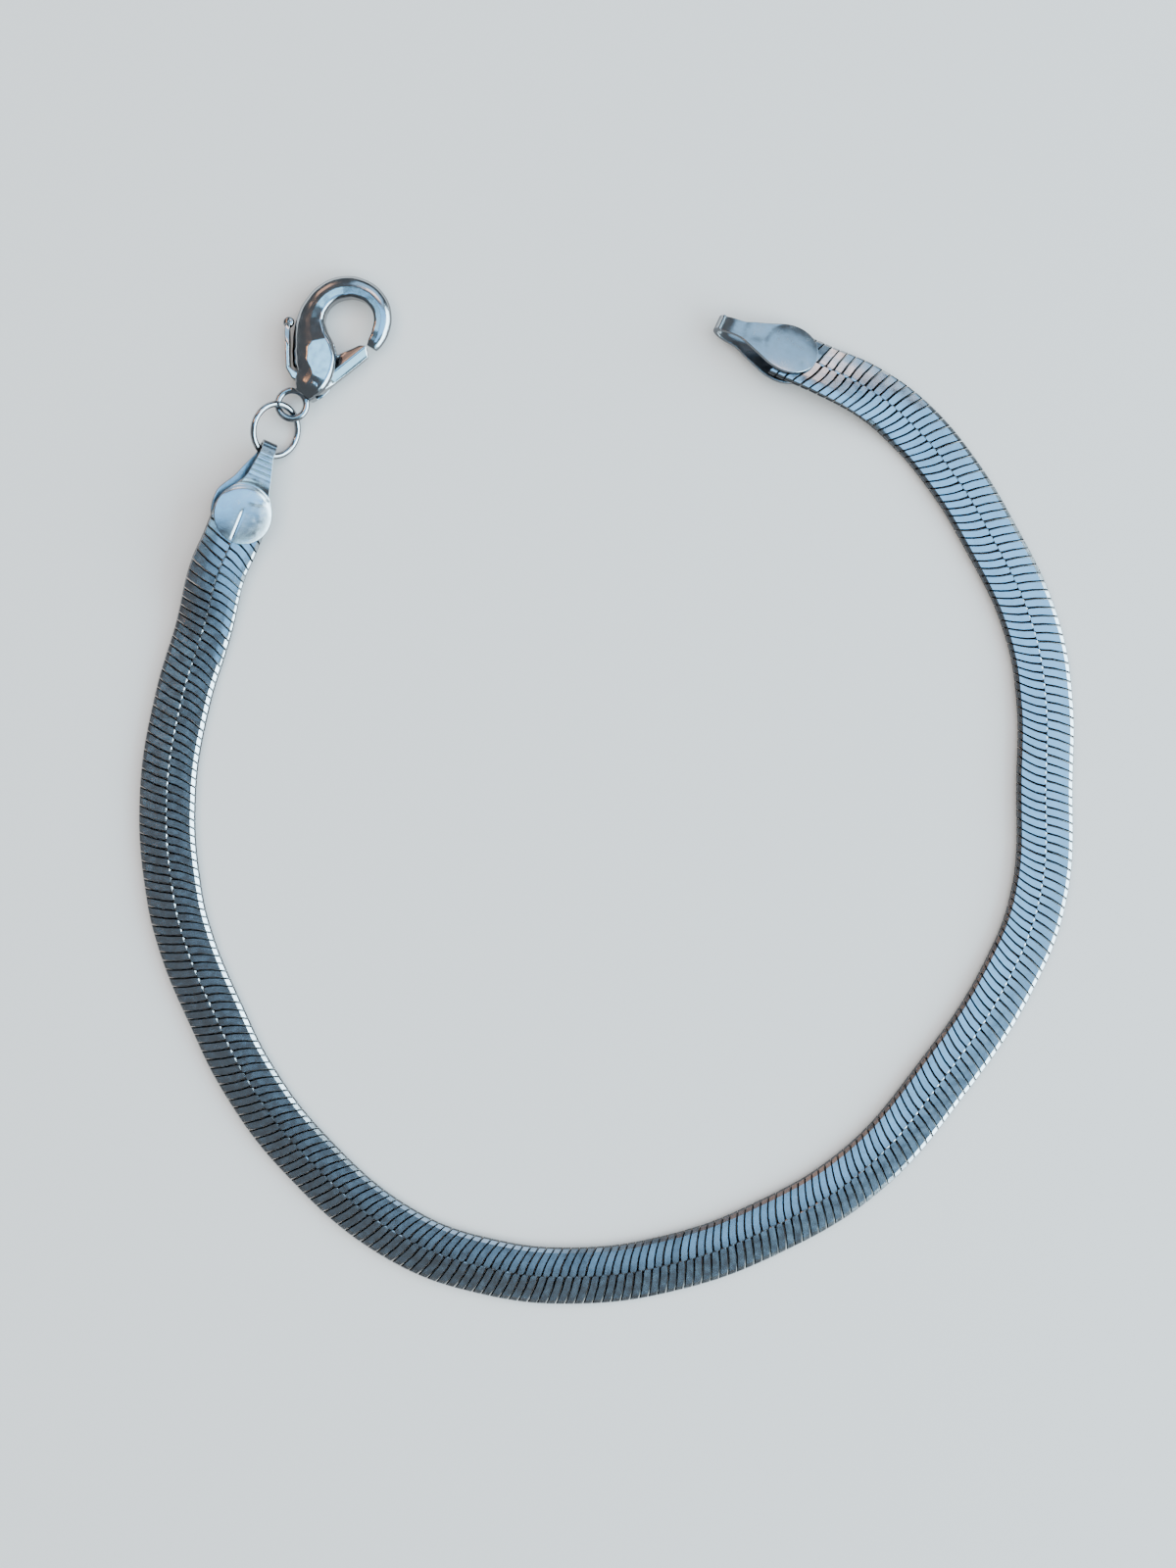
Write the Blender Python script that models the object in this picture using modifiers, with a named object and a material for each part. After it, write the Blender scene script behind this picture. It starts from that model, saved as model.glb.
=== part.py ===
"""Herringbone chain bracelet, lying open on a table with its clasp unfastened.

Metres, +Z up. The table is z = 0 and the origin is the middle of the
bracelet's outline on it. Seen from above, the chain runs from the clasp end
cap (upper left) down, round the bottom and up to the free end cap.
"""
import bmesh
import bpy
import numpy as np
from math import cos, pi, radians, sin
from mathutils import Vector

MM = 0.001

# Chain: a flat woven band of S-shaped links
CHAIN_WIDTH = 4.15 * MM
CHAIN_THICKNESS = 1.10 * MM
LINK_PITCH = 0.64 * MM
LINK_SLANT = 0.46
CENTRE_JOG = 0.34 * MM
CENTRE_HALF = 0.10 * MM
GROOVE_DEPTH = 0.11 * MM
GROOVE_SHARE = 0.22
EDGE_ROUND = 0.40 * MM
CROWN_FALL = 0.06
CENTRE_FALL = 0.10
GROOVE_EDGE_SHARE = 0.6
END_HELD_LENGTH = 2.45 * MM
END_RISE_LENGTH = 9.0 * MM

# End caps: one sheet, folded over the chain's end into an eye
SHEET = 0.30 * MM
CAP_CLEARANCE = 0.10 * MM
CLASP_CAP_RADIUS = 2.18 * MM
FREE_CAP_RADIUS = 2.02 * MM
CLASP_LEAF_SPLAY = 0.52 * MM
FREE_LEAF_SPLAY = 0.10 * MM
CLASP_NECK_LENGTH = 4.65 * MM
CLASP_FOLD_DEPTH = 1.00 * MM
FREE_NECK_LENGTH = 3.75 * MM
FREE_FOLD_DEPTH = 1.85 * MM
CLASP_CAP_ROLL = 19.0
FREE_CAP_ROLL = 22.0
TABLE_CLEARANCE = 0.04 * MM
FOLD_STEPS = 7
CAP_COLUMNS = 6

# Jump ring
RING_RADIUS = 1.90 * MM
RING_WIRE = 0.48 * MM
RING_TILT = 43.0
RING_TURN = 2.4
RING_PAST_FOLD = 1.06 * MM
RING_HEIGHT = 1.55 * MM

# Lobster clasp
EYE_PAST_RING = 2.218 * MM
EYE_ASIDE = -0.363 * MM
EYE_HOLE = 1.58 * MM
EYE_WIRE = 0.50 * MM
CLASP_LENGTH = 10.50 * MM
CASTING_HALF_WIDTH = 1.66 * MM
CASTING_HALF_HEIGHT = 1.40 * MM
CASTING_FACET = 0.14 * MM
PIN_INSET = 0.05 * MM
SLOT_HEIGHT = 1.44 * MM
LEVER_HEIGHT = 1.20 * MM
PIVOT_ALONG = 1.95 * MM
PIVOT_RIGHT = 1.10 * MM
PIN_DIAMETER = 0.60 * MM
PIN_CLEARANCE = 0.08 * MM
BALL_DIAMETER = 0.84 * MM

# Places on the table, (x, y), headings in degrees from +X
CLASP_CAP_PLACE = (-26.67 * MM, 20.16 * MM)
CLASP_CAP_HEADING = 68.0
FREE_CAP_PLACE = (13.24 * MM, 31.90 * MM)
FREE_CAP_HEADING = 156.0
CLASP_HEADING = 66.4

# The chain's chosen route between the caps, in millimetres (x, y)
CHAIN_ROUTE = [
    (-28.36, 16.20), (-29.50, 12.02), (-31.12, 6.71), (-32.20, -0.10), (-31.75, -7.46),
    (-30.79, -11.33), (-28.80, -16.12), (-26.26, -21.19), (-22.21, -26.55), (-14.97, -32.60),
    (-8.61, -34.93), (-2.20, -35.57), (4.88, -34.60), (11.55, -32.19), (18.70, -27.85),
    (24.59, -21.15), (29.48, -13.69), (31.76, -7.63), (32.19, 1.17), (32.19, 6.55),
    (31.24, 12.05), (27.83, 19.37), (25.29, 23.44), (22.55, 26.70), (19.40, 29.10)]

# Cap outline: along as a share of the neck's length, half widths as shares of the disc's radius
CLASP_CAP_OUTLINE = [
    dict(along=-0.452, left=0.00, right=0.00),
    dict(along=-0.430, left=0.30, right=0.30),
    dict(along=-0.370, left=0.57, right=0.57),
    dict(along=-0.250, left=0.83, right=0.83),
    dict(along=-0.090, left=0.98, right=0.98),
    dict(along=0.090, left=0.98, right=0.98),
    dict(along=0.250, left=0.86, right=0.84),
    dict(along=0.380, left=0.66, right=0.66),
    dict(along=0.500, left=0.46, right=0.54),
    dict(along=0.620, left=0.36, right=0.48),
    dict(along=1.000, left=0.25, right=0.24)]
FREE_CAP_OUTLINE = [
    dict(along=-0.566, left=0.00, right=0.00),
    dict(along=-0.545, left=0.27, right=0.27),
    dict(along=-0.480, left=0.53, right=0.53),
    dict(along=-0.320, left=0.82, right=0.82),
    dict(along=-0.110, left=0.98, right=0.98),
    dict(along=0.110, left=0.98, right=0.98),
    dict(along=0.320, left=0.88, right=0.86),
    dict(along=0.520, left=0.70, right=0.66),
    dict(along=0.700, left=0.58, right=0.52),
    dict(along=0.860, left=0.45, right=0.40),
    dict(along=1.000, left=0.34, right=0.28)]

# Clasp casting: its centre line in the clasp's own frame, as shares of the clasp's length, and
# the half width there as a share of the casting's greatest
CASTING_PATH = [
    dict(along=0.090, right=0.029, half=0.602),
    dict(along=0.162, right=0.043, half=0.819),
    dict(along=0.252, right=0.055, half=0.916),
    dict(along=0.335, right=0.030, half=1.000),
    dict(along=0.415, right=-0.018, half=0.952),
    dict(along=0.501, right=-0.074, half=0.783),
    dict(along=0.598, right=-0.114, half=0.627),
    dict(along=0.700, right=-0.116, half=0.554),
    dict(along=0.800, right=-0.082, half=0.530),
    dict(along=0.886, right=0.002, half=0.518),
    dict(along=0.926, right=0.122, half=0.476),
    dict(along=0.901, right=0.246, half=0.434),
    dict(along=0.819, right=0.330, half=0.398),
    dict(along=0.703, right=0.362, half=0.373),
    dict(along=0.624, right=0.358, half=0.325),
    dict(along=0.581, right=0.352, half=0.253)]
# Its section, as shares of that half width across and of the half height up
CASTING_SECTION = [
    (-1.00, 0.00), (-0.90, 0.42), (-0.50, 0.82), (0.06, 1.00), (0.76, 1.00), (0.97, 0.66),
    (0.97, -0.66), (0.76, -1.00), (0.06, -1.00), (-0.50, -0.82), (-0.90, -0.42)]
# Flat outlines in the same frame, (along, right) as shares of the clasp's length
SLOT_OUTLINE = [
    (0.105, 0.276), (0.105, -0.238), (0.240, -0.238), (0.240, -0.024), (0.552, 0.095),
    (0.552, 0.276)]
LEVER_OUTLINE = [
    (0.552, 0.272), (0.564, 0.314), (0.510, 0.356), (0.371, 0.284), (0.233, 0.208),
    (0.200, 0.189), (0.154, 0.164), (0.126, 0.133), (0.122, 0.090), (0.141, 0.052),
    (0.158, 0.014), (0.162, -0.067), (0.211, -0.133), (0.309, -0.183), (0.379, -0.213),
    (0.440, -0.244), (0.497, -0.267), (0.509, -0.236), (0.455, -0.213), (0.396, -0.186),
    (0.318, -0.155), (0.230, -0.112), (0.215, -0.057), (0.223, 0.010), (0.253, 0.059),
    (0.333, 0.097), (0.429, 0.145)]
BALL_PLACE = (0.516, -0.251)


for item in list(bpy.data.objects):
    bpy.data.objects.remove(item)

parts = bpy.data.collections.new("herringbone_bracelet")
cutters = bpy.data.collections.new("cutters")
bpy.context.scene.collection.children.link(parts)
bpy.context.scene.collection.children.link(cutters)


def material(name, colour, roughness, metallic):
    """A plain metal for one piece."""
    mat = bpy.data.materials.new(name)
    mat.use_nodes = True
    shader = mat.node_tree.nodes["Principled BSDF"]
    shader.inputs["Base Color"].default_value = (*colour, 1.0)
    shader.inputs["Roughness"].default_value = roughness
    shader.inputs["Metallic"].default_value = metallic
    return mat


def add(name, mesh, parent, mat=None, collection=parts):
    """A mesh object under a frame, with its material."""
    item = bpy.data.objects.new(name, mesh)
    collection.objects.link(item)
    item.parent = parent
    if mat:
        item.data.materials.clear()
        item.data.materials.append(mat)
    return item


def hide(item):
    """Marks a cutter or a guide."""
    item.hide_render = True
    item.display_type = "WIRE"


def frame(name, place, heading, roll=0.0, parent=None):
    """An empty that holds a piece: +X along its heading, +Y to its left."""
    empty = bpy.data.objects.new(name, None)
    parts.objects.link(empty)
    empty.parent = parent
    empty.location = place
    empty.rotation_euler = (radians(roll), 0.0, radians(heading))
    return empty


def as_mesh(item, name):
    """A curve object's evaluated mesh, with its caps welded on."""
    bpy.context.view_layer.update()
    graph = bpy.context.evaluated_depsgraph_get()
    mesh = bpy.data.meshes.new_from_object(item.evaluated_get(graph))
    mesh.name = name
    bpy.data.objects.remove(item)
    bm = bmesh.new()
    bm.from_mesh(mesh)
    bmesh.ops.remove_doubles(bm, verts=bm.verts, dist=1e-6)
    bmesh.ops.recalc_face_normals(bm, faces=bm.faces)
    bm.to_mesh(mesh)
    bm.free()
    return mesh


def outline_mesh(name, points, height):
    """A flat outline in the clasp's frame, in shares of its length, as a plate on mid-height."""
    data = bpy.data.curves.new(name, "CURVE")
    data.dimensions = "2D"
    data.fill_mode = "BOTH"
    data.extrude = height / 2
    spline = data.splines.new("POLY")
    spline.points.add(len(points) - 1)
    for point, (along, right) in zip(spline.points, points):
        point.co = (along * CLASP_LENGTH, -right * CLASP_LENGTH, 0.0, 1.0)
    spline.use_cyclic_u = True
    item = bpy.data.objects.new(name, data)
    cutters.objects.link(item)
    return as_mesh(item, name)


def boolean(item, other, operation):
    """A live cut or join with another object."""
    mod = item.modifiers.new(other.name, "BOOLEAN")
    mod.operation = operation
    mod.object = other
    mod.solver = "EXACT"


def cap_middle(roll, radius):
    """How high a rolled cap's middle lies, with its lower edge just clear of the table."""
    slope = radians(roll)
    leaf = CHAIN_THICKNESS / 2 + CAP_CLEARANCE + SHEET
    return radius * sin(slope) + leaf * cos(slope) + TABLE_CLEARANCE


def onward(place, along, left):
    """A place on the table further along the clasp end cap's heading, and to its left."""
    heading = radians(CLASP_CAP_HEADING)
    return (place[0] + along * cos(heading) - left * sin(heading),
            place[1] + along * sin(heading) + left * cos(heading))


# Whole bracelet

CLASP_CAP_HEIGHT = cap_middle(CLASP_CAP_ROLL, CLASP_CAP_RADIUS)
FREE_CAP_HEIGHT = cap_middle(FREE_CAP_ROLL, FREE_CAP_RADIUS)

root = bpy.data.objects.new("bracelet_frame", None)
parts.objects.link(root)


# Chain

def link_section(groove):
    """One station round a link: (along, left, up) points, at its crest or in its groove."""
    half = CHAIN_WIDTH / 2 - groove * GROOVE_EDGE_SHARE
    flat = CHAIN_WIDTH / 2 - EDGE_ROUND
    top = CHAIN_THICKNESS / 2 - groove
    shoulder = top * (1.0 - CROWN_FALL)
    centre = top * (1.0 - CENTRE_FALL)
    upper = [(-half, 0.0), (-flat, shoulder), (-CENTRE_HALF, top), (CENTRE_HALF, centre),
             (flat, shoulder), (half, 0.0)]
    lower = [(flat, -shoulder), (CENTRE_HALF, -centre), (-CENTRE_HALF, -top),
             (-flat, -shoulder)]
    points = []
    for left, up in upper + lower:
        if abs(left) <= CENTRE_HALF:
            jog = -CENTRE_JOG / 2 if left > 0 else CENTRE_JOG / 2
        else:
            jog = LINK_SLANT * left - (CENTRE_JOG / 2 if left > 0 else -CENTRE_JOG / 2)
        points.append(Vector((jog, left, up)))
    return points


def held_stretch(place, heading):
    """The two ends of the straight stretch of chain that a cap holds, the cap's middle first."""
    middle = Vector((*place, 0.0))
    back = Vector((cos(radians(heading)), sin(radians(heading)), 0.0)) * END_HELD_LENGTH
    return [middle, middle - back]


def chain_curve(name):
    """The chain's centre line: down from the clasp end cap, round, and up to the free end cap."""
    rise = END_RISE_LENGTH
    held = END_HELD_LENGTH
    places = held_stretch(CLASP_CAP_PLACE, CLASP_CAP_HEADING)
    places += [Vector((x * MM, y * MM, 0.0)) for x, y in CHAIN_ROUTE]
    places += reversed(held_stretch(FREE_CAP_PLACE, FREE_CAP_HEADING))
    lengths = [0.0]
    for first, second in zip(places, places[1:]):
        lengths.append(lengths[-1] + (second - first).length)
    data = bpy.data.curves.new(name, "CURVE")
    data.dimensions = "3D"
    data.twist_mode = "Z_UP"
    data.resolution_u = 24
    spline = data.splines.new("BEZIER")
    spline.bezier_points.add(len(places) - 1)
    for point, place, run in zip(spline.bezier_points, places, lengths):
        start = min(1.0, max(0.0, 1.0 - (run - held) / rise))
        finish = min(1.0, max(0.0, 1.0 - (lengths[-1] - run - held) / rise))
        start = start * start * (3.0 - 2.0 * start)
        finish = finish * finish * (3.0 - 2.0 * finish)
        flat = CHAIN_THICKNESS / 2 + TABLE_CLEARANCE
        height = flat + start * (CLASP_CAP_HEIGHT - flat) + finish * (FREE_CAP_HEIGHT - flat)
        point.co = (place.x, place.y, height)
        point.handle_left_type = "AUTO"
        point.handle_right_type = "AUTO"
        point.tilt = radians(FREE_CAP_ROLL) * finish - radians(CLASP_CAP_ROLL) * start
    item = bpy.data.objects.new(name, data)
    cutters.objects.link(item)
    hide(item)
    return item


route = chain_curve("chain_route")
bpy.context.view_layer.update()
route_length = route.data.splines[0].calc_length()
link_count = round(route_length / LINK_PITCH)
pitch = route_length / link_count

bm = bmesh.new()
stations = []
for along, groove in ((0.0, 0.0), (1.0 - GROOVE_SHARE, GROOVE_DEPTH), (1.0, 0.0)):
    stations.append([bm.verts.new(p + Vector((along * pitch, 0.0, 0.0)))
                     for p in link_section(groove)])
for first, second in zip(stations, stations[1:]):
    for i, vert in enumerate(first):
        j = (i + 1) % len(first)
        bm.faces.new((vert, first[j], second[j], second[i]))
bmesh.ops.recalc_face_normals(bm, faces=bm.faces)
link_mesh = bpy.data.meshes.new("link")
bm.to_mesh(link_mesh)
bm.free()

link = add("link_pattern", link_mesh, None, collection=cutters)
hide(link)
array = link.modifiers.new("links", "ARRAY")
array.count = link_count
array.use_relative_offset = False
array.use_constant_offset = True
array.constant_offset_displace = (pitch, 0.0, 0.0)
array.use_merge_vertices = True
array.merge_threshold = 1e-5
bend = link.modifiers.new("route", "CURVE")
bend.object = route
bend.deform_axis = "POS_X"
bpy.context.view_layer.update()
graph = bpy.context.evaluated_depsgraph_get()
band = bpy.data.meshes.new_from_object(link.evaluated_get(graph))
bm = bmesh.new()
bm.from_mesh(band)
ends = bmesh.ops.holes_fill(bm, edges=[e for e in bm.edges if e.is_boundary], sides=0)
bmesh.ops.triangulate(bm, faces=ends["faces"])
bmesh.ops.recalc_face_normals(bm, faces=bm.faces)
bm.to_mesh(band)
bm.free()
silver = material("satin_silver", (0.58, 0.60, 0.62), 0.34, 1.0)
chain = add("herringbone_chain", band, root, silver)


# End caps

def cap_mesh(name, outline, radius, neck, fold, splay):
    """The cap's sheet before it gets its thickness: lower leaf, fold and upper leaf."""
    middle = CHAIN_THICKNESS / 2 + CAP_CLEARANCE + SHEET / 2
    last = outline[-1]
    leaf = [dict(s=row["along"] * neck, z=middle, left=row["left"] * radius,
                 right=row["right"] * radius) for row in outline]
    stations = []
    for row in leaf:
        share = max(0.0, row["s"] / neck)
        stations.append(dict(row, z=-middle, left=row["left"] + splay * sin(pi * share)))
    for i in range(1, FOLD_STEPS):
        angle = -pi / 2 + pi * i / FOLD_STEPS
        stations.append(dict(s=neck + fold * cos(angle), z=middle * sin(angle),
                             left=last["left"] * radius, right=last["right"] * radius))
    stations += reversed(leaf)
    bm = bmesh.new()
    bmesh.ops.create_grid(bm, x_segments=len(stations) - 1, y_segments=CAP_COLUMNS, size=1.0)
    for vert in bm.verts:
        row = stations[round((vert.co.x + 1) / 2 * (len(stations) - 1))]
        side = vert.co.y
        width = row["left"] if side > 0 else row["right"]
        vert.co = (row["s"], side * width, row["z"])
    bmesh.ops.remove_doubles(bm, verts=bm.verts, dist=1e-5)
    mesh = bpy.data.meshes.new(name)
    bm.to_mesh(mesh)
    bm.free()
    return mesh


def cap(name, shape, place, heading, roll, height, mat):
    """A folded cap on its own frame, its disc's middle at the frame's origin."""
    holder = frame(name + "_frame", (*place, height), heading, roll, root)
    item = add(name, cap_mesh(name, *shape), holder, mat)
    sheet = item.modifiers.new("sheet", "SOLIDIFY")
    sheet.thickness = SHEET
    sheet.offset = 0.0
    sheet.use_even_offset = True
    return item


cap_metal = material("cap_silver", (0.60, 0.63, 0.66), 0.28, 1.0)
clasp_shape = (CLASP_CAP_OUTLINE, CLASP_CAP_RADIUS, CLASP_NECK_LENGTH, CLASP_FOLD_DEPTH,
               CLASP_LEAF_SPLAY)
free_shape = (FREE_CAP_OUTLINE, FREE_CAP_RADIUS, FREE_NECK_LENGTH, FREE_FOLD_DEPTH,
              FREE_LEAF_SPLAY)
cap("clasp_end_cap", clasp_shape, CLASP_CAP_PLACE, CLASP_CAP_HEADING, CLASP_CAP_ROLL,
    CLASP_CAP_HEIGHT, cap_metal)
cap("free_end_cap", free_shape, FREE_CAP_PLACE, FREE_CAP_HEADING, FREE_CAP_ROLL,
    FREE_CAP_HEIGHT, cap_metal)


# Jump ring

bpy.ops.mesh.primitive_torus_add(major_segments=16, minor_segments=6, major_radius=RING_RADIUS,
                                 minor_radius=RING_WIRE / 2)
ring_source = bpy.context.object
ring_mesh = ring_source.data
bpy.data.objects.remove(ring_source)
ring_place = onward(CLASP_CAP_PLACE, CLASP_NECK_LENGTH + CLASP_FOLD_DEPTH + RING_PAST_FOLD, 0.0)
ring_holder = frame("jump_ring_frame", (*ring_place, RING_HEIGHT), CLASP_CAP_HEADING + RING_TURN,
                    RING_TILT, root)
ring = add("jump_ring", ring_mesh, ring_holder,
           material("ring_wire", (0.62, 0.62, 0.63), 0.18, 1.0))


# Lobster clasp

facet_height = CASTING_HALF_HEIGHT - CASTING_FACET
eye_place = onward(ring_place, EYE_PAST_RING, EYE_ASIDE)
clasp = frame("clasp_frame", (*eye_place, facet_height), CLASP_HEADING, 0.0, root)
clasp_metal = material("clasp_casting", (0.55, 0.56, 0.58), 0.16, 1.0)

section = bpy.data.curves.new("body_section", "CURVE")
section.dimensions = "2D"
spline = section.splines.new("POLY")
spline.points.add(len(CASTING_SECTION) - 1)
for point, (across, up) in zip(spline.points, CASTING_SECTION):
    point.co = (across * CASTING_HALF_WIDTH, up * CASTING_HALF_HEIGHT, 0.0, 1.0)
spline.use_cyclic_u = True
section_item = bpy.data.objects.new("body_section", section)
cutters.objects.link(section_item)

path = bpy.data.curves.new("body_path", "CURVE")
path.dimensions = "3D"
path.twist_mode = "Z_UP"
path.resolution_u = 4
path.bevel_mode = "OBJECT"
path.bevel_object = section_item
path.use_fill_caps = True
spline = path.splines.new("BEZIER")
spline.bezier_points.add(len(CASTING_PATH) - 1)
for point, row in zip(spline.bezier_points, CASTING_PATH):
    point.co = (row["along"] * CLASP_LENGTH, -row["right"] * CLASP_LENGTH, 0.0)
    point.radius = row["half"]
    point.handle_left_type = "AUTO"
    point.handle_right_type = "AUTO"
path_item = bpy.data.objects.new("body_path", path)
cutters.objects.link(path_item)
body_mesh = as_mesh(path_item, "clasp_body")
bpy.data.objects.remove(section_item)
bm = bmesh.new()
bm.from_mesh(body_mesh)
for side in (-1.0, 1.0):
    bmesh.ops.bisect_plane(bm, geom=bm.verts[:] + bm.edges[:] + bm.faces[:], dist=1e-7,
                           plane_co=(0.0, 0.0, side * facet_height), plane_no=(0.0, 0.0, side),
                           clear_outer=True)
    bmesh.ops.holes_fill(bm, edges=[e for e in bm.edges if e.is_boundary], sides=0)
bmesh.ops.recalc_face_normals(bm, faces=bm.faces)
bm.to_mesh(body_mesh)
bm.free()
body = add("clasp_body", body_mesh, clasp, clasp_metal)

bpy.ops.mesh.primitive_torus_add(major_segments=20, minor_segments=8,
                                 major_radius=(EYE_HOLE + EYE_WIRE) / 2,
                                 minor_radius=EYE_WIRE / 2)
eye_source = bpy.context.object
eye = add("eye_form", eye_source.data, clasp, collection=cutters)
bpy.data.objects.remove(eye_source)
hide(eye)
boolean(body, eye, "UNION")

slot = add("lever_slot", outline_mesh("lever_slot", SLOT_OUTLINE, SLOT_HEIGHT), clasp,
           collection=cutters)
hide(slot)
boolean(body, slot, "DIFFERENCE")


def pin_cutter(name, diameter, height):
    """A round bar on the lever's axis."""
    bm = bmesh.new()
    bmesh.ops.create_cone(bm, cap_ends=True, segments=16, radius1=diameter / 2,
                          radius2=diameter / 2, depth=height)
    bmesh.ops.translate(bm, verts=bm.verts, vec=(PIVOT_ALONG, -PIVOT_RIGHT, 0.0))
    mesh = bpy.data.meshes.new(name)
    bm.to_mesh(mesh)
    bm.free()
    return mesh


bore = add("pin_bore", pin_cutter("pin_bore", PIN_DIAMETER + 2 * PIN_CLEARANCE,
                                  4 * CASTING_HALF_HEIGHT), clasp, collection=cutters)
hide(bore)
boolean(body, bore, "DIFFERENCE")

pin = add("clasp_pin", pin_cutter("clasp_pin", PIN_DIAMETER, 2 * (facet_height - PIN_INSET)), clasp,
          clasp_metal)

lever_metal = material("clasp_lever_metal", (0.58, 0.58, 0.59), 0.2, 1.0)
lever = add("clasp_lever", outline_mesh("clasp_lever", LEVER_OUTLINE, LEVER_HEIGHT), clasp,
            lever_metal)
bm = bmesh.new()
bmesh.ops.create_uvsphere(bm, u_segments=12, v_segments=8, radius=BALL_DIAMETER / 2)
bmesh.ops.translate(bm, verts=bm.verts, vec=(BALL_PLACE[0] * CLASP_LENGTH, -BALL_PLACE[1] * CLASP_LENGTH, 0.0))
ball_mesh = bpy.data.meshes.new("ball_form")
bm.to_mesh(ball_mesh)
bm.free()
ball = add("ball_form", ball_mesh, clasp, collection=cutters)
hide(ball)
boolean(lever, ball, "UNION")
boolean(lever, bore, "DIFFERENCE")


# The middle of the outline goes to the origin, and the lowest point to the table

bpy.context.view_layer.update()
graph = bpy.context.evaluated_depsgraph_get()
corners = []
for item in parts.objects:
    if item.type == "MESH":
        solid = item.evaluated_get(graph)
        mesh = solid.to_mesh()
        points = np.array([item.matrix_world @ vert.co for vert in mesh.vertices])
        corners += [points.min(axis=0), points.max(axis=0)]
        solid.to_mesh_clear()
low = np.min(corners, axis=0)
high = np.max(corners, axis=0)
root.location = (-(low[0] + high[0]) / 2, -(low[1] + high[1]) / 2, -low[2])
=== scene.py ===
"""Herringbone chain bracelet, unfastened and lying open on a table: the looks, over its CAD frame.

Metres, +Z up, in the CAD's own frame, with the table at z = 0. Seen from above, the chain runs
from the clasp end cap (upper left) down, round the bottom and up to the free end cap.
"""
from math import cos, exp, hypot, pi, radians, sin

import bmesh
import bpy
import numpy as np
from mathutils import Matrix, Vector


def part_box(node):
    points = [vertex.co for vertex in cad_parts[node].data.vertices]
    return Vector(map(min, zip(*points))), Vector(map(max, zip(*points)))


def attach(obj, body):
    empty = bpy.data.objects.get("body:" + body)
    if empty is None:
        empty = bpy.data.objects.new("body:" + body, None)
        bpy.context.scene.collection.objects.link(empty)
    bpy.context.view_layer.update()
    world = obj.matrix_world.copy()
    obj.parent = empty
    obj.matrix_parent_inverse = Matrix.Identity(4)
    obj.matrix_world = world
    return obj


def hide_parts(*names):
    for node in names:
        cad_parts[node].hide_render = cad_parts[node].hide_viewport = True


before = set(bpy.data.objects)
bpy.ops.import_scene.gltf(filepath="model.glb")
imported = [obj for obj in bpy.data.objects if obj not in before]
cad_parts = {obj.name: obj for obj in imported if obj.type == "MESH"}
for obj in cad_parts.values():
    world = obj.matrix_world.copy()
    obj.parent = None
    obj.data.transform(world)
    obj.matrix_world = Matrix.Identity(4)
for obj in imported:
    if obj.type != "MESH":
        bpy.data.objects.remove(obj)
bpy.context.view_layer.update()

MM = 0.001


# Herringbone chain
# A flat band of some 260 silver wires, each bent to an S, woven one behind the other, then rolled
# flat and polished. A wire shows as two tongues, which meet like a zip along the band's middle.

CHAIN_WIDTH = 4.12 * MM
CHAIN_THICKNESS = 1.08 * MM
LINK_PITCH = 0.64 * MM
BAND_LEVEL = 0.59 * MM
END_HELD_LENGTH = 2.45 * MM
END_RISE_LENGTH = 9.0 * MM
ROOF_FALL = 0.07
SHARP_ANGLE = 26.0
# Near-black colour for painted shade in the gaps between tongues and on the band's outer edges.
GAP_SHADE_COLOUR = (0.012, 0.012, 0.014)

# How far forward the tongues sweep, and how.
OUTER_REACH = 0.68 * MM
OUTER_BOW = 0.4
INNER_START = 0.28 * MM
INNER_REACH = 0.90 * MM
INNER_SWEEP = 1.6

# A tongue's section: two crowns, four shoulders and four flank corners, in shares of its half
# width and half height.
TONGUE_CORNERS = 10
CHAMFER_START = 0.75
SHOULDER_HEIGHT = 0.96
FLANK_HEIGHT = 0.66

# Stations along a tongue, from edge to middle or back: how far left of the band's middle, in
# shares of its half width, and the tongue's width and height there, in shares of the full ones.
OUTER_TONGUE = [
    dict(left=-1.00, width=0.94, height=0.40),
    dict(left=-0.965, width=0.98, height=0.72),
    dict(left=-0.84, width=1.00, height=0.985),
    dict(left=-0.42, width=1.00, height=1.00),
    dict(left=-0.07, width=0.98, height=1.00),
    dict(left=-0.01, width=0.76, height=0.975),
    dict(left=0.025, width=0.44, height=0.885)]
INNER_TONGUE = [
    dict(left=-0.025, width=0.44, height=0.885),
    dict(left=0.01, width=0.76, height=0.975),
    dict(left=0.07, width=0.98, height=1.00),
    dict(left=0.34, width=1.00, height=1.00),
    dict(left=0.60, width=1.00, height=1.00),
    dict(left=0.84, width=1.00, height=0.985),
    dict(left=0.965, width=0.98, height=0.72),
    dict(left=1.00, width=0.94, height=0.40)]

# Unevenness from link to link. The tongues' leans are slopes along the band.
INNER_LEAN = -0.03
LEAN_SPREAD = 0.018
PITCH_SPREAD = 0.008 * MM

CLASP_CAP_PLACE = Vector((-26.67, 20.16, 1.648)) * MM
CLASP_CAP_HEADING = 68.0
CLASP_CAP_ROLL = 19.0
FREE_CAP_PLACE = Vector((13.24, 31.90, 1.678)) * MM
FREE_CAP_HEADING = 156.0
FREE_CAP_ROLL = 22.0

# Where the drawing's own origin came to lie, found from the clasp's pin.
PIN_AS_DRAWN = Vector((-21.2003, 29.6484, 1.26)) * MM
pin_low, pin_high = (Vector(corner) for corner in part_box("clasp_pin"))
origin_shift = (pin_low + pin_high) / 2 - PIN_AS_DRAWN

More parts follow.
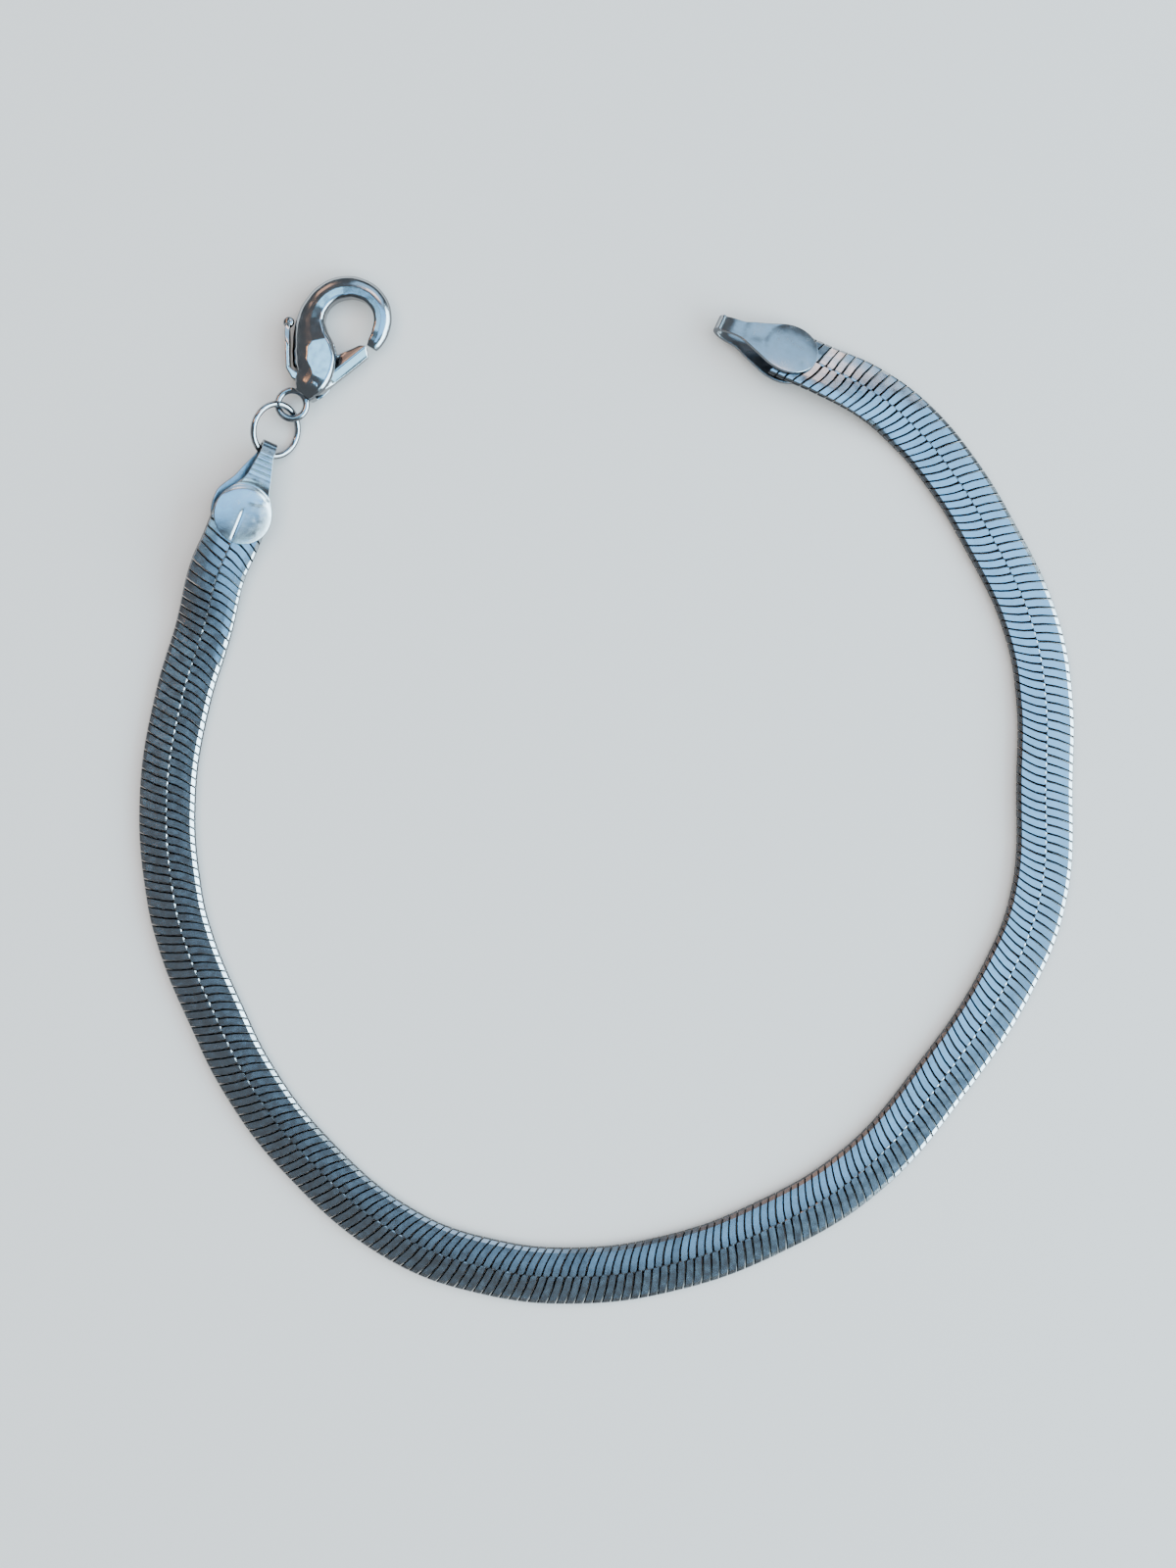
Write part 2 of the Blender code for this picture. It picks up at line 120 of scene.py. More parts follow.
# The chain's few chosen points, from the clasp's end round to the free end, in millimetres.
CHAIN_ROUTE = [
    (-28.36, 16.20), (-29.50, 12.02), (-31.12, 6.71), (-32.20, -0.10), (-31.75, -7.46),
    (-30.79, -11.33), (-28.80, -16.12), (-26.26, -21.19), (-22.21, -26.55), (-14.97, -32.60),
    (-8.61, -34.93), (-2.20, -35.57), (4.88, -34.60), (11.55, -32.19), (18.70, -27.85),
    (24.59, -21.15), (29.48, -13.69), (31.76, -7.63), (32.19, 1.17), (32.19, 6.55),
    (31.24, 12.05), (27.83, 19.37), (25.29, 23.44), (22.55, 26.70), (19.40, 29.10)]


def added(name, data):
    """An object in the scene for a mesh, curve, light or camera."""
    item = bpy.data.objects.new(name, data)
    bpy.context.collection.objects.link(item)
    return item


def settled(item, name):
    """An object's mesh with its modifiers applied, and the object itself taken away."""
    bpy.context.view_layer.update()
    graph = bpy.context.evaluated_depsgraph_get()
    mesh = bpy.data.meshes.new_from_object(item.evaluated_get(graph))
    mesh.name = name
    bpy.data.objects.remove(item)
    return mesh


def placed(name, mesh, *finishes):
    """A smooth-shaded object for a mesh that already lies where it belongs."""
    item = added(name, mesh)
    mesh.shade_smooth()
    for finish in finishes:
        mesh.materials.append(finish)
    return item


def eased(value):
    """A smooth step from 0 to 1."""
    value = min(1.0, max(0.0, value))
    return value * value * (3.0 - 2.0 * value)


def held_end(place, heading):
    """The middle of a cap, and the point where the chain leaves its straight held stretch."""
    back = Vector((cos(radians(heading)), sin(radians(heading)), 0.0)) * END_HELD_LENGTH
    return [place.xy.to_3d(), place.xy.to_3d() - back]


def chain_route():
    """The band's centre line, level on the table and rolled up into each cap."""
    places = held_end(CLASP_CAP_PLACE, CLASP_CAP_HEADING)
    places += [Vector((x * MM, y * MM, 0.0)) for x, y in CHAIN_ROUTE]
    places += reversed(held_end(FREE_CAP_PLACE, FREE_CAP_HEADING))
    runs = [0.0]
    for first, second in zip(places, places[1:]):
        runs.append(runs[-1] + (second - first).length)
    data = bpy.data.curves.new("chain_route", "CURVE")
    data.dimensions = "3D"
    data.twist_mode = "Z_UP"
    data.resolution_u = 24
    spline = data.splines.new("BEZIER")
    spline.bezier_points.add(len(places) - 1)
    for point, place, run in zip(spline.bezier_points, places, runs):
        start = eased(1.0 - (run - END_HELD_LENGTH) / END_RISE_LENGTH)
        finish = eased(1.0 - (runs[-1] - run - END_HELD_LENGTH) / END_RISE_LENGTH)
        height = (BAND_LEVEL + start * (CLASP_CAP_PLACE.z - BAND_LEVEL)
                  + finish * (FREE_CAP_PLACE.z - BAND_LEVEL))
        point.co = (place.x, place.y, height)
        point.handle_left_type = "AUTO"
        point.handle_right_type = "AUTO"
        point.tilt = radians(FREE_CAP_ROLL) * finish - radians(CLASP_CAP_ROLL) * start
    return added("chain_route", data)


def outer_line(left):
    """How far forward the outer tongue's middle lies, that far left of the band's middle."""
    share = (left + CHAIN_WIDTH / 2) / (CHAIN_WIDTH / 2)
    return OUTER_REACH * ((1.0 + OUTER_BOW) * share - OUTER_BOW * share * share)


def inner_line(left):
    """The same for the inner tongue, which starts square to the band and then sweeps forward."""
    share = max(0.0, left / (CHAIN_WIDTH / 2))
    return INNER_START + INNER_REACH * share ** INNER_SWEEP


def tongue(bm, gap_shade, stations, line):
    """One tongue: a slightly crowned flat bar with chamfered flanks, lofted across the band."""
    turn = Matrix.Rotation(pi / TONGUE_CORNERS, 4, "Z")
    rings = []
    for row in stations:
        left = row["left"] * CHAIN_WIDTH / 2
        width = row["width"] * LINK_PITCH / 2
        height = row["height"] * CHAIN_THICKNESS / 2
        ring = bmesh.ops.create_circle(bm, segments=TONGUE_CORNERS, radius=1.0,
                                       matrix=turn)["verts"]
        for vert in ring:
            x, y = vert.co.xy
            if abs(x) > 0.9:
                share, rise = 1.0, FLANK_HEIGHT
            elif abs(x) > 0.1:
                share, rise = CHAMFER_START, SHOULDER_HEIGHT
            else:
                share, rise = 0.0, 1.0
            vert.co = (line(left) + np.copysign(share, x) * width, left,
                       np.copysign(rise, y) * height)
            # Painted shade: the flanks and the band's outer ends are marked to go near-black.
            vert[gap_shade] = 1.0 if share == 1.0 or abs(row["left"]) == 1.0 else 0.0
        rings.append([item for item in bm.edges if all(vert in ring for vert in item.verts)])
    for first, second in zip(rings, rings[1:]):
        bmesh.ops.bridge_loops(bm, edges=first + second)
    bmesh.ops.holes_fill(bm, edges=rings[0] + rings[-1], sides=0)


bm = bmesh.new()
gap_shade = bm.verts.layers.float.new("gap_shade")
tongue(bm, gap_shade, OUTER_TONGUE, outer_line)
tongue(bm, gap_shade, INNER_TONGUE, inner_line)
bmesh.ops.recalc_face_normals(bm, faces=bm.faces)
bm.verts.index_update()
link_points = np.array([vert.co for vert in bm.verts])
link_gap_shade = [vert[gap_shade] for vert in bm.verts]
link_faces = [[vert.index for vert in face.verts] for face in bm.faces]
bm.free()

route = chain_route()
bpy.context.view_layer.update()
route_length = route.data.splines[0].calc_length()
link_count = round(route_length / LINK_PITCH)
pitch = route_length / link_count

rng = np.random.default_rng(7)
is_inner = link_points[:, 1] > 0.0
points = []
faces = []
for i in range(link_count):
    moved = link_points.copy()
    lean = np.where(is_inner, rng.normal(INNER_LEAN, LEAN_SPREAD), rng.normal(0.0, LEAN_SPREAD))
    moved[:, 2] += lean * (moved[:, 0] - np.where(is_inner, INNER_START, OUTER_REACH / 2))
    moved[:, 2] -= np.abs(moved[:, 1]) * ROOF_FALL * np.sign(moved[:, 2])
    moved[:, 0] += i * pitch + rng.normal(0.0, PITCH_SPREAD)
    faces += [[len(link_points) * i + index for index in face] for face in link_faces]
    points.append(moved)
band = bpy.data.meshes.new("band")
band.from_pydata(np.concatenate(points).tolist(), [], faces)
band.attributes.new("gap_shade", "FLOAT", "POINT").data.foreach_set("value", link_gap_shade * link_count)

straight = added("straight_band", band)
bend = straight.modifiers.new("route", "CURVE")
bend.object = route
bend.deform_axis = "POS_X"
links_mesh = settled(straight, "herringbone_links")
bpy.data.objects.remove(route)
links_mesh.transform(Matrix.Translation(origin_shift))


def wear_and_shade_group():
    """Polished silver's small faults, soft dents and uneven tarnish, plus painted shade that
    darkens its steep sides.
    """
    group = bpy.data.node_groups.new("silver_wear_and_shade", "ShaderNodeTree")
    for name, kind in (("Vector", "NodeSocketVector"), ("Clean", "NodeSocketColor"),
                       ("Tarnish", "NodeSocketColor"), ("Tarnish Amount", "NodeSocketFloat"),
                       ("Smooth", "NodeSocketFloat"), ("Rough", "NodeSocketFloat"),
                       ("Dents", "NodeSocketFloat"), ("Facing", "NodeSocketVector"),
                       ("Side Shade", "NodeSocketFloat")):
        group.interface.new_socket(name, in_out="INPUT", socket_type=kind)
    for name, kind in (("Color", "NodeSocketColor"), ("Roughness", "NodeSocketFloat"),
                       ("Normal", "NodeSocketVector")):
        group.interface.new_socket(name, in_out="OUTPUT", socket_type=kind)
    nodes, links = group.nodes, group.links
    source = nodes.new("NodeGroupInput")
    result = nodes.new("NodeGroupOutput")

    patches = nodes.new("ShaderNodeTexNoise")
    patches.inputs["Scale"].default_value = 420.0
    patches.inputs["Detail"].default_value = 4.0
    patches.inputs["Roughness"].default_value = 0.6
    links.new(source.outputs["Vector"], patches.inputs["Vector"])
    spread = nodes.new("ShaderNodeMapRange")
    spread.inputs["From Min"].default_value = 0.38
    spread.inputs["From Max"].default_value = 0.68
    links.new(patches.outputs["Fac"], spread.inputs["Value"])
    amount = nodes.new("ShaderNodeMath")
    amount.operation = "MULTIPLY"
    links.new(spread.outputs["Result"], amount.inputs[0])
    links.new(source.outputs["Tarnish Amount"], amount.inputs[1])
    tint = nodes.new("ShaderNodeMix")
    tint.data_type = "RGBA"
    links.new(amount.outputs["Value"], tint.inputs["Factor"])
    links.new(source.outputs["Clean"], tint.inputs["A"])
    links.new(source.outputs["Tarnish"], tint.inputs["B"])

    # Painted shade: the colour darkens to near-black as the surface turns from facing up to steep,
    # so sides look shaded.
    upward = nodes.new("ShaderNodeSeparateXYZ")
    links.new(source.outputs["Facing"], upward.inputs["Vector"])
    side = nodes.new("ShaderNodeMapRange")
    side.inputs["From Min"].default_value = 0.86
    side.inputs["From Max"].default_value = 0.52
    links.new(upward.outputs["Z"], side.inputs["Value"])
    side_shade_amount = nodes.new("ShaderNodeMath")
    side_shade_amount.operation = "MULTIPLY"
    links.new(side.outputs["Result"], side_shade_amount.inputs[0])
    links.new(source.outputs["Side Shade"], side_shade_amount.inputs[1])
    shade = nodes.new("ShaderNodeMix")
    shade.data_type = "RGBA"
    shade.inputs["B"].default_value = (0.045, 0.045, 0.05, 1.0)
    links.new(side_shade_amount.outputs["Value"], shade.inputs["Factor"])
    links.new(tint.outputs["Result"], shade.inputs["A"])
    links.new(shade.outputs["Result"], result.inputs["Color"])

    satin = nodes.new("ShaderNodeTexNoise")
    satin.inputs["Scale"].default_value = 1900.0
    satin.inputs["Detail"].default_value = 3.0
    links.new(source.outputs["Vector"], satin.inputs["Vector"])
    gloss = nodes.new("ShaderNodeMapRange")
    gloss.inputs["From Min"].default_value = 0.30
    gloss.inputs["From Max"].default_value = 0.70
    links.new(satin.outputs["Fac"], gloss.inputs["Value"])
    links.new(source.outputs["Smooth"], gloss.inputs["To Min"])
    links.new(source.outputs["Rough"], gloss.inputs["To Max"])
    links.new(gloss.outputs["Result"], result.inputs["Roughness"])

    dents = nodes.new("ShaderNodeTexNoise")
    dents.inputs["Scale"].default_value = 1100.0
    dents.inputs["Detail"].default_value = 5.0
    dents.inputs["Roughness"].default_value = 0.62
    links.new(source.outputs["Vector"], dents.inputs["Vector"])
    bump = nodes.new("ShaderNodeBump")
    bump.inputs["Distance"].default_value = 0.06 * MM
    links.new(dents.outputs["Fac"], bump.inputs["Height"])
    links.new(source.outputs["Dents"], bump.inputs["Strength"])
    links.new(bump.outputs["Normal"], result.inputs["Normal"])
    return group


silver_wear_and_shade = wear_and_shade_group()


def silver(name, clean, tarnish, tarnish_amount, side_shade, smooth, rough, dents):
    """A metal finish with the shared tarnish, dents, satin roughness and painted side shade on it.
    """
    finish = bpy.data.materials.new(name)
    finish.use_nodes = True
    nodes, links = finish.node_tree.nodes, finish.node_tree.links
    shader = nodes["Principled BSDF"]
    shader.inputs["Metallic"].default_value = 1.0
    place = nodes.new("ShaderNodeTexCoord")
    wear_and_shade = nodes.new("ShaderNodeGroup")
    wear_and_shade.name = "wear_and_shade"
    wear_and_shade.node_tree = silver_wear_and_shade
    wear_and_shade.inputs["Clean"].default_value = (*clean, 1.0)
    wear_and_shade.inputs["Tarnish"].default_value = (*tarnish, 1.0)
    wear_and_shade.inputs["Tarnish Amount"].default_value = tarnish_amount
    # How strongly steep sides are darkened with painted shade.
    wear_and_shade.inputs["Side Shade"].default_value = side_shade
    wear_and_shade.inputs["Smooth"].default_value = smooth
    wear_and_shade.inputs["Rough"].default_value = rough
    wear_and_shade.inputs["Dents"].default_value = dents
    links.new(place.outputs["Object"], wear_and_shade.inputs["Vector"])
    surface = nodes.new("ShaderNodeNewGeometry")
    links.new(surface.outputs["Normal"], wear_and_shade.inputs["Facing"])
    links.new(wear_and_shade.outputs["Color"], shader.inputs["Base Color"])
    links.new(wear_and_shade.outputs["Roughness"], shader.inputs["Roughness"])
    links.new(wear_and_shade.outputs["Normal"], shader.inputs["Normal"])
    return finish


chain_finish = silver("rolled_silver", clean=(0.84, 0.86, 0.89), tarnish=(0.58, 0.59, 0.61),
                      tarnish_amount=0.30, side_shade=0.9, smooth=0.18, rough=0.28, dents=0.05)
nodes, wires = chain_finish.node_tree.nodes, chain_finish.node_tree.links
# Painted shade: where marked, the colour goes near-black in the gaps between tongues and on the
# band's edges.
gap_shade_attribute = nodes.new("ShaderNodeAttribute")
gap_shade_attribute.attribute_name = "gap_shade"
gap_shade_mix = nodes.new("ShaderNodeMix")
gap_shade_mix.data_type = "RGBA"
gap_shade_mix.inputs["B"].default_value = (*GAP_SHADE_COLOUR, 1.0)
wires.new(gap_shade_attribute.outputs["Fac"], gap_shade_mix.inputs["Factor"])
wires.new(nodes["wear_and_shade"].outputs["Color"], gap_shade_mix.inputs["A"])
wires.new(gap_shade_mix.outputs["Result"], nodes["Principled BSDF"].inputs["Base Color"])
chain = placed("herringbone_links", links_mesh, chain_finish)
links_mesh.set_sharp_from_angle(angle=radians(SHARP_ANGLE))
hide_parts("herringbone_chain")
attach(chain, "bracelet")


# End caps
# Each is one piece of silver sheet, stamped with a round leaf at both ends and folded over the
# chain, so that the fold stands out as an eye. The leaves are pinched down and soldered.

SHEET = 0.27 * MM
LEAF_HEIGHT = 0.81 * MM
FOLD_STEPS = 9

CLASP_LEAF_RADIUS = 2.18 * MM
CLASP_NECK_LENGTH = 4.65 * MM
CLASP_FOLD_DEPTH = 1.00 * MM
CLASP_SPLAY = 0.52 * MM
FREE_LEAF_RADIUS = 2.02 * MM
FREE_NECK_LENGTH = 3.75 * MM
FREE_FOLD_DEPTH = 1.85 * MM
FREE_SPLAY = 0.10 * MM

# Millimetres above a cap's middle from which its sheet is pressed, so the lower leaf stays plain.
CLASP_PRESSED_ABOVE = 0.5
FREE_PRESSED_ABOVE = 0.4
RIB_PITCH = 0.42

# The outlines run from the leaf's far edge to the fold, in shares of the neck's length along the
# cap and of the leaf's radius to either side.
CLASP_CAP_OUTLINE = [
    dict(along=-0.452, left=0.00, right=0.00),
    dict(along=-0.430, left=0.30, right=0.30),
    dict(along=-0.370, left=0.57, right=0.57),
    dict(along=-0.250, left=0.83, right=0.83),
    dict(along=-0.090, left=0.98, right=0.98),
    dict(along=0.090, left=0.98, right=0.98),
    dict(along=0.250, left=0.86, right=0.84),
    dict(along=0.380, left=0.66, right=0.66),
    dict(along=0.500, left=0.46, right=0.54),
    dict(along=0.620, left=0.36, right=0.48),
    dict(along=0.700, left=0.34, right=0.43),
    dict(along=0.780, left=0.31, right=0.38),
    dict(along=0.860, left=0.29, right=0.33),
    dict(along=0.930, left=0.27, right=0.28),
    dict(along=1.000, left=0.25, right=0.24)]
FREE_CAP_OUTLINE = [
    dict(along=-0.566, left=0.00, right=0.00),
    dict(along=-0.545, left=0.27, right=0.27),
    dict(along=-0.480, left=0.53, right=0.53),
    dict(along=-0.320, left=0.82, right=0.82),
    dict(along=-0.110, left=0.98, right=0.98),
    dict(along=0.110, left=0.98, right=0.98),
    dict(along=0.320, left=0.88, right=0.86),
    dict(along=0.520, left=0.70, right=0.66),
    dict(along=0.700, left=0.58, right=0.52),
    dict(along=0.860, left=0.45, right=0.40),
    dict(along=1.000, left=0.34, right=0.28)]


def as_mesh(bm, name):
    """A bmesh's shape as a mesh of that name. The bmesh is freed."""
    mesh = bpy.data.meshes.new(name)
    bm.to_mesh(mesh)
    bm.free()
    return mesh


def cap_sheet(outline, radius, neck, fold, splay):
    """The cap's sheet with no thickness yet: lower leaf, fold and upper leaf as one strip."""
    leaf = [dict(along=row["along"] * neck, up=LEAF_HEIGHT, left=row["left"] * radius,
                 right=row["right"] * radius) for row in outline]
    stations = []
    for row in leaf:
        share = max(0.0, row["along"] / neck)
        stations.append(dict(row, up=-LEAF_HEIGHT, left=row["left"] + splay * sin(pi * share)))
    for i in range(1, FOLD_STEPS):
        angle = -pi / 2 + pi * i / FOLD_STEPS
        stations.append(dict(leaf[-1], along=neck + fold * cos(angle),
                             up=LEAF_HEIGHT * sin(angle)))
    stations += reversed(leaf)
    bm = bmesh.new()
    bmesh.ops.create_grid(bm, x_segments=len(stations) - 1, y_segments=12, size=1.0)
    for vert in bm.verts:
        row = stations[round((vert.co.x + 1) / 2 * (len(stations) - 1))]
        side = vert.co.y
        width = row["left"] if side > 0 else row["right"]
        vert.co = (row["along"], side * width, row["up"])
    bmesh.ops.remove_doubles(bm, verts=bm.verts, dist=0.01 * MM)
    item = added("cap_sheet", as_mesh(bm, "cap_sheet"))
    finer = item.modifiers.new("finer", "SUBSURF")
    finer.levels = 2
    finer.render_levels = 2
    return settled(item, "cap_sheet")


def cap_piece(name, sheet, shaping, place, heading, roll, finish):
    """A cap: its sheet pressed by hand, given its wall, and laid where the CAD has it."""
    for vert in sheet.vertices:
        x, y, z = vert.co / MM
        vert.co.z += shaping(x, y, z) * MM
    item = added(name, sheet)
    wall = item.modifiers.new("wall", "SOLIDIFY")
    wall.thickness = SHEET
    wall.offset = 0.0
    wall.use_even_offset = True
    soft = item.modifiers.new("soft_edges", "SUBSURF")
    soft.levels = 1
    soft.render_levels = 1
    mesh = settled(item, name)
    turn = Matrix.Rotation(radians(heading), 4, "Z") @ Matrix.Rotation(radians(roll), 4, "X")
    mesh.transform(Matrix.Translation(place + origin_shift) @ turn)
    return placed(name, mesh, finish)


def ridge(value, at, width):
    """A soft ridge: 1 where the value is reached, falling away to either side."""
    return exp(-((value - at) / width) ** 2)


def rises(value, start, over):
    """A smooth step from 0 up to 1, that far after its start."""
    return eased((value - start) / over)


def falls(value, end, over):
    """A smooth step from 1 down to 0 at its end."""
    return eased((end - value) / over)


def dome(x, y, fall, radius):
    """How far the leaf's face falls towards its rim."""
    return -fall * min(1.0, hypot(x, y) / radius) ** 3


def clasp_cap_shaping(x, y, z):
    """Millimetres that the clasp end cap's sheet is pressed in or out, at a place on it."""
    if z < CLASP_PRESSED_ABOVE:
        return 0.0
    rim = -0.12 * ridge(hypot(x, y), at=2.30, width=0.22) * rises(x, start=0.6, over=0.8)
    crease = (-0.05 * ridge(y, at=0.13, width=0.09) * falls(x, end=0.5, over=0.5)
              * rises(x, start=-2.1, over=0.4))
    step = 0.04 * ridge(x - 0.18 * y * y, at=1.15, width=0.13) * falls(y, end=0.2, over=0.4)
    ribs = (0.022 * sin(2 * pi * x / RIB_PITCH) * rises(x, start=2.9, over=0.3)
            * falls(x, end=5.0, over=0.3))
    return dome(x, y, fall=0.11, radius=2.1) + rim + crease + step + ribs


def free_cap_shaping(x, y, z):
    """The same for the free end cap."""
    if z < FREE_PRESSED_ABOVE:
        return 0.0
    valley = (-0.045 * ridge(y - 0.25 * (x - 2.2), at=0.0, width=0.55)
              * ridge(x, at=2.5, width=0.75))
    slope = -0.10 * rises(x, start=3.0, over=0.9)
    dent = -0.04 * ridge(x, at=-1.35, width=0.25) * ridge(y, at=0.75, width=0.35)
    return dome(x, y, fall=0.12, radius=2.0) + valley + slope + dent


cap_finish = silver("pressed_silver", clean=(0.86, 0.88, 0.91), tarnish=(0.60, 0.61, 0.64),
                    tarnish_amount=0.35, side_shade=0.9, smooth=0.16, rough=0.28, dents=0.08)
clasp_cap = cap_piece(
    "clasp_end_cap_sheet",
    cap_sheet(CLASP_CAP_OUTLINE, CLASP_LEAF_RADIUS, CLASP_NECK_LENGTH, CLASP_FOLD_DEPTH,
              CLASP_SPLAY),
    clasp_cap_shaping, CLASP_CAP_PLACE, CLASP_CAP_HEADING, CLASP_CAP_ROLL, cap_finish)
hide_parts("clasp_end_cap")
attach(clasp_cap, "bracelet")

free_cap = cap_piece(
    "free_end_cap_sheet",
    cap_sheet(FREE_CAP_OUTLINE, FREE_LEAF_RADIUS, FREE_NECK_LENGTH, FREE_FOLD_DEPTH, FREE_SPLAY),
    free_cap_shaping, FREE_CAP_PLACE, FREE_CAP_HEADING, FREE_CAP_ROLL, cap_finish)
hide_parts("free_end_cap")
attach(free_cap, "bracelet")


# Jump ring
# A ring of round silver wire, closed through the cap's fold and the clasp's eye. Its two cut ends
# butt together and aren't soldered, so a fine slit shows.

RING_RADIUS = 1.90 * MM
RING_WIRE = 0.46 * MM
RING_PLACE = Vector((-24.1564, 26.3814, 1.55)) * MM
RING_HEADING = 70.4
RING_TILT = 43.0
RING_SLIT = 1.2
RING_SLIT_AT = 20.0


def bent_wire(name, wire, radius, steps, slit=0.0):
    """A round wire bent to a level ring, closed or with its ends that many degrees apart."""
    bm = bmesh.new()
    section = bmesh.ops.create_circle(bm, segments=16, radius=wire / 2)["verts"]
    bmesh.ops.rotate(bm, verts=section, cent=(0.0, 0.0, 0.0),
                     matrix=Matrix.Rotation(pi / 2, 3, "X"))
    bmesh.ops.translate(bm, verts=section, vec=(radius, 0.0, 0.0))
    bmesh.ops.spin(bm, geom=bm.verts[:] + bm.edges[:], cent=(0.0, 0.0, 0.0),
                   axis=(0.0, 0.0, 1.0), angle=radians(360.0 - slit), steps=steps,
                   use_merge=slit == 0.0)
    if slit:
        bmesh.ops.holes_fill(bm, edges=[item for item in bm.edges if item.is_boundary], sides=0)
    bmesh.ops.recalc_face_normals(bm, faces=bm.faces)
    return as_mesh(bm, name)


ring_mesh = bent_wire("jump_ring_wire", RING_WIRE, RING_RADIUS, steps=72, slit=RING_SLIT)
ring_mesh.transform(
    Matrix.Translation(RING_PLACE + origin_shift)
    @ Matrix.Rotation(radians(RING_HEADING), 4, "Z")
    @ Matrix.Rotation(radians(RING_TILT), 4, "X")
    @ Matrix.Rotation(radians(RING_SLIT_AT), 4, "Z"))
ring_finish = silver("ring_silver", clean=(0.88, 0.88, 0.90), tarnish=(0.60, 0.59, 0.60),
                     tarnish_amount=0.25, side_shade=0.9, smooth=0.10, rough=0.18, dents=0.04)
ring = placed("jump_ring_wire", ring_mesh, ring_finish)
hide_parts("jump_ring")
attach(ring, "bracelet")


# Lobster clasp's casting
# Hook, cheeks and eye are one silver casting, tumbled smooth and then ground flat on both faces.
# The cheeks are slotted for the lever, which the pin runs through.

CLASP_HEADING = 66.4
PIVOT = Vector((1.95, -1.10, 0.0)) * MM
EYE_HOLE = 1.58 * MM
EYE_WIRE = 0.50 * MM
CLASP_LENGTH = 10.50 * MM
CASTING_HALF_WIDTH = 1.66 * MM
CASTING_HALF_HEIGHT = 1.40 * MM
FACET_HEIGHT = 1.26 * MM
SLOT_HEIGHT = 1.44 * MM
CASTING_GRAIN = 0.055 * MM

CASTING_PATH = [
    dict(along=0.090, right=0.029, half=0.602),
    dict(along=0.162, right=0.043, half=0.819),
    dict(along=0.252, right=0.055, half=0.916),
    dict(along=0.335, right=0.030, half=1.000),
    dict(along=0.415, right=-0.018, half=0.952),
    dict(along=0.501, right=-0.074, half=0.783),
    dict(along=0.598, right=-0.114, half=0.627),
    dict(along=0.700, right=-0.116, half=0.554),
    dict(along=0.800, right=-0.082, half=0.530),
    dict(along=0.886, right=0.002, half=0.518),
    dict(along=0.926, right=0.122, half=0.476),
    dict(along=0.901, right=0.246, half=0.434),
    dict(along=0.819, right=0.330, half=0.398),
    dict(along=0.703, right=0.362, half=0.373),
    dict(along=0.624, right=0.358, half=0.325),
    dict(along=0.581, right=0.352, half=0.253)]
CASTING_SECTION = [
    (-1.00, 0.00), (-0.98, 0.22), (-0.90, 0.42), (-0.75, 0.62), (-0.50, 0.82), (-0.24, 0.93),
    (0.06, 1.00), (0.76, 1.00), (0.90, 0.86), (0.97, 0.66), (0.97, -0.66), (0.90, -0.86),
    (0.76, -1.00), (0.06, -1.00), (-0.24, -0.93), (-0.50, -0.82), (-0.75, -0.62),
    (-0.90, -0.42), (-0.98, -0.22)]
SLOT_OUTLINE = [
    (0.105, 0.276), (0.105, -0.238), (0.240, -0.238), (0.240, -0.024), (0.552, 0.095),
    (0.552, 0.276)]

clasp_turn = Matrix.Rotation(radians(CLASP_HEADING), 4, "Z")
clasp_place = Matrix.Translation((pin_low + pin_high) / 2 - clasp_turn @ PIVOT) @ clasp_turn


def plate(outline, height):
    """A flat outline, in shares of the clasp's length, as a plate on the clasp's mid-height."""
    bm = bmesh.new()
    face = bm.faces.new([bm.verts.new((along * CLASP_LENGTH, -right * CLASP_LENGTH, -height / 2))
                         for along, right in outline])
    bmesh.ops.recalc_face_normals(bm, faces=[face])
    top = bmesh.ops.extrude_face_region(bm, geom=[face])["geom"]
    bmesh.ops.translate(bm, verts=[item for item in top if isinstance(item, bmesh.types.BMVert)],
                        vec=(0.0, 0.0, height))
    bmesh.ops.recalc_face_normals(bm, faces=bm.faces)
    return as_mesh(bm, "plate")


def cut(item, tool, operation):
    """A cut or a join with a helper object."""
    mod = item.modifiers.new(tool.name, "BOOLEAN")
    mod.operation = operation
    mod.object = tool
    mod.solver = "EXACT"


def tumbled(item, name, grain, rounds, shaping=None):
    """The shape worn smooth: remeshed finely, filed to a profile, then its corners softened."""
    remesh = item.modifiers.new("grain", "REMESH")
    remesh.mode = "VOXEL"
    remesh.voxel_size = grain
    mesh = settled(item, name)
    bm = bmesh.new()
    bm.from_mesh(mesh)
    if shaping:
        for vert in bm.verts:
            vert.co.z *= shaping(vert.co.x, vert.co.y)
    for _ in range(rounds):
        bmesh.ops.smooth_vert(bm, verts=bm.verts, factor=0.5, use_axis_x=True, use_axis_y=True,
                              use_axis_z=True)
    bm.to_mesh(mesh)
    bm.free()
    mesh.transform(clasp_place)
    return mesh


section = bpy.data.curves.new("casting_section", "CURVE")
section.dimensions = "2D"
spline = section.splines.new("POLY")
spline.points.add(len(CASTING_SECTION) - 1)
for point, (across, up) in zip(spline.points, CASTING_SECTION):
    point.co = (across * CASTING_HALF_WIDTH, up * CASTING_HALF_HEIGHT, 0.0, 1.0)
spline.use_cyclic_u = True
section_item = added("casting_section", section)

